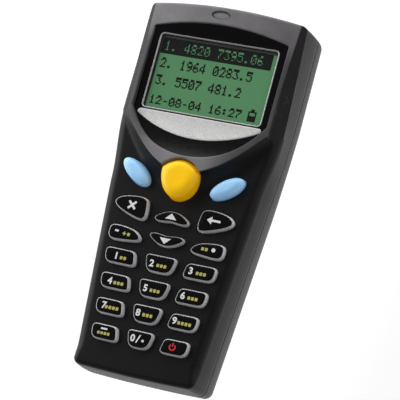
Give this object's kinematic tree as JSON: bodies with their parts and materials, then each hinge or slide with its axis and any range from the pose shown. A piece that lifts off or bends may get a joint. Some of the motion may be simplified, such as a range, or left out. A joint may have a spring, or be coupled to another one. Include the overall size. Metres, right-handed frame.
{
  "type": "portable barcode data terminal",
  "caption": "Pocket barcode data terminal: tapered casing with a shielded display head, press keys, a scan window in the head end and a hinged battery door in the back.",
  "frame": {"origin": "centre of the bounding box at the flat back, on which the terminal lies", "axes": "+X to the right seen from the keypad, +Y along the body towards the display head, +Z out of the keypad face"},
  "size_m": [0.056, 0.122, 0.032],
  "materials": {
    "front_plastic": "fine textured satin",
    "back_plastic": "fine textured satin",
    "gloss_black": "polished",
    "clear_lens": "polished clear",
    "silver_trim": "metallic paint",
    "status_lens": "frosted",
    "lcd_green": "reflective",
    "diffuser": "frosted",
    "flex_film": "film",
    "mat_rubber": "matte",
    "pcb": "solder mask",
    "engine_black": "moulded",
    "red_window": "polished dark red",
    "connector": "moulded",
    "steel": "bright",
    "dark_window": "polished",
    "seal_rubber": "matte",
    "latch_plastic": "moulded",
    "cell_jacket": "printed jacket",
    "spring_steel": "nickel plated",
    "screw_steel": "zinc plated",
    "scan_key": "satin",
    "blue_key": "satin",
    "digit_key": "gloss face with silver rim"
  },
  "bodies": {
    "casing": {"front_cover": "front_plastic", "back_cover": "back_plastic", "display_bezel": "gloss_black", "display_lens": "clear_lens", "trim_plate": "silver_trim", "status_lens": "status_lens", "lcd_glass": "lcd_green", "lcd_backlight": "diffuser", "lcd_flex": "flex_film", "keypad_mat": "mat_rubber", "main_pcb": "pcb", "scan_engine": "engine_black", "scan_lens": "engine_black", "scan_window": "red_window", "engine_flex": "flex_film", "board_connector": "connector", "buzzer": "engine_black", "backup_cell": "steel", "ir_window": "dark_window", "case_seal": "seal_rubber", "door_pin": "steel", "cell_left": "cell_jacket", "cell_right": "cell_jacket", "cell_springs": "spring_steel", "cell_contacts": "spring_steel", "case_screws": "screw_steel", "pcb_screws": "screw_steel"},
    "key_scan_cap": {"key_scan": "scan_key"},
    "key_left_cap": {"key_left": "blue_key"},
    "key_right_cap": {"key_right": "blue_key"},
    "key_escape_cap": {"key_escape": "digit_key"},
    "key_backspace_cap": {"key_backspace": "digit_key"},
    "key_up_cap": {"key_up": "digit_key"},
    "key_down_cap": {"key_down": "digit_key"},
    "key_minus_cap": {"key_minus": "digit_key"},
    "key_dot_cap": {"key_dot": "digit_key"},
    "key_1_cap": {"key_1": "digit_key"},
    "key_2_cap": {"key_2": "digit_key"},
    "key_3_cap": {"key_3": "digit_key"},
    "key_4_cap": {"key_4": "digit_key"},
    "key_5_cap": {"key_5": "digit_key"},
    "key_6_cap": {"key_6": "digit_key"},
    "key_7_cap": {"key_7": "digit_key"},
    "key_8_cap": {"key_8": "digit_key"},
    "key_9_cap": {"key_9": "digit_key"},
    "key_fn_cap": {"key_fn": "digit_key"},
    "key_0_cap": {"key_0": "digit_key"},
    "key_power_cap": {"key_power": "digit_key"},
    "door": {"battery_door": "back_plastic"},
    "latch": {"door_latch": "latch_plastic"}
  },
  "joints": [
    {"name": "key_scan_press", "type": "slide", "parent": "casing", "child": "key_scan_cap", "axis": [0, 0, -1], "range_m": [0, 0.0008], "stiffness_N_per_m": 420},
    {"name": "key_left_press", "type": "slide", "parent": "casing", "child": "key_left_cap", "axis": [0, 0, -1], "range_m": [0, 0.0008], "stiffness_N_per_m": 420},
    {"name": "key_right_press", "type": "slide", "parent": "casing", "child": "key_right_cap", "axis": [0, 0, -1], "range_m": [0, 0.0008], "stiffness_N_per_m": 420},
    {"name": "key_escape_press", "type": "slide", "parent": "casing", "child": "key_escape_cap", "axis": [0, 0, -1], "range_m": [0, 0.0008], "stiffness_N_per_m": 300},
    {"name": "key_backspace_press", "type": "slide", "parent": "casing", "child": "key_backspace_cap", "axis": [0, 0, -1], "range_m": [0, 0.0008], "stiffness_N_per_m": 300},
    {"name": "key_up_press", "type": "slide", "parent": "casing", "child": "key_up_cap", "axis": [0, 0, -1], "range_m": [0, 0.0008], "stiffness_N_per_m": 300},
    {"name": "key_down_press", "type": "slide", "parent": "casing", "child": "key_down_cap", "axis": [0, 0, -1], "range_m": [0, 0.0008], "stiffness_N_per_m": 300},
    {"name": "key_minus_press", "type": "slide", "parent": "casing", "child": "key_minus_cap", "axis": [0, 0, -1], "range_m": [0, 0.0008], "stiffness_N_per_m": 300},
    {"name": "key_dot_press", "type": "slide", "parent": "casing", "child": "key_dot_cap", "axis": [0, 0, -1], "range_m": [0, 0.0008], "stiffness_N_per_m": 300},
    {"name": "key_1_press", "type": "slide", "parent": "casing", "child": "key_1_cap", "axis": [0, 0, -1], "range_m": [0, 0.0008], "stiffness_N_per_m": 300},
    {"name": "key_2_press", "type": "slide", "parent": "casing", "child": "key_2_cap", "axis": [0, 0, -1], "range_m": [0, 0.0008], "stiffness_N_per_m": 300},
    {"name": "key_3_press", "type": "slide", "parent": "casing", "child": "key_3_cap", "axis": [0, 0, -1], "range_m": [0, 0.0008], "stiffness_N_per_m": 300},
    {"name": "key_4_press", "type": "slide", "parent": "casing", "child": "key_4_cap", "axis": [0, 0, -1], "range_m": [0, 0.0008], "stiffness_N_per_m": 300},
    {"name": "key_5_press", "type": "slide", "parent": "casing", "child": "key_5_cap", "axis": [0, 0, -1], "range_m": [0, 0.0008], "stiffness_N_per_m": 300},
    {"name": "key_6_press", "type": "slide", "parent": "casing", "child": "key_6_cap", "axis": [0, 0, -1], "range_m": [0, 0.0008], "stiffness_N_per_m": 300},
    {"name": "key_7_press", "type": "slide", "parent": "casing", "child": "key_7_cap", "axis": [0, 0, -1], "range_m": [0, 0.0008], "stiffness_N_per_m": 300},
    {"name": "key_8_press", "type": "slide", "parent": "casing", "child": "key_8_cap", "axis": [0, 0, -1], "range_m": [0, 0.0008], "stiffness_N_per_m": 300},
    {"name": "key_9_press", "type": "slide", "parent": "casing", "child": "key_9_cap", "axis": [0, 0, -1], "range_m": [0, 0.0008], "stiffness_N_per_m": 300},
    {"name": "key_fn_press", "type": "slide", "parent": "casing", "child": "key_fn_cap", "axis": [0, 0, -1], "range_m": [0, 0.0008], "stiffness_N_per_m": 300},
    {"name": "key_0_press", "type": "slide", "parent": "casing", "child": "key_0_cap", "axis": [0, 0, -1], "range_m": [0, 0.0008], "stiffness_N_per_m": 300},
    {"name": "key_power_press", "type": "slide", "parent": "casing", "child": "key_power_cap", "axis": [0, 0, -1], "range_m": [0, 0.0008], "stiffness_N_per_m": 300},
    {"name": "battery_door_hinge", "type": "hinge", "parent": "casing", "child": "door", "pos_m": [0, 0.004, 0.0026], "axis": [1, 0, 0], "range_deg": [0, 100]},
    {"name": "door_latch_slide", "type": "slide", "parent": "door", "child": "latch", "axis": [0, -1, 0], "range_m": [0, 0.002]}
  ]
}
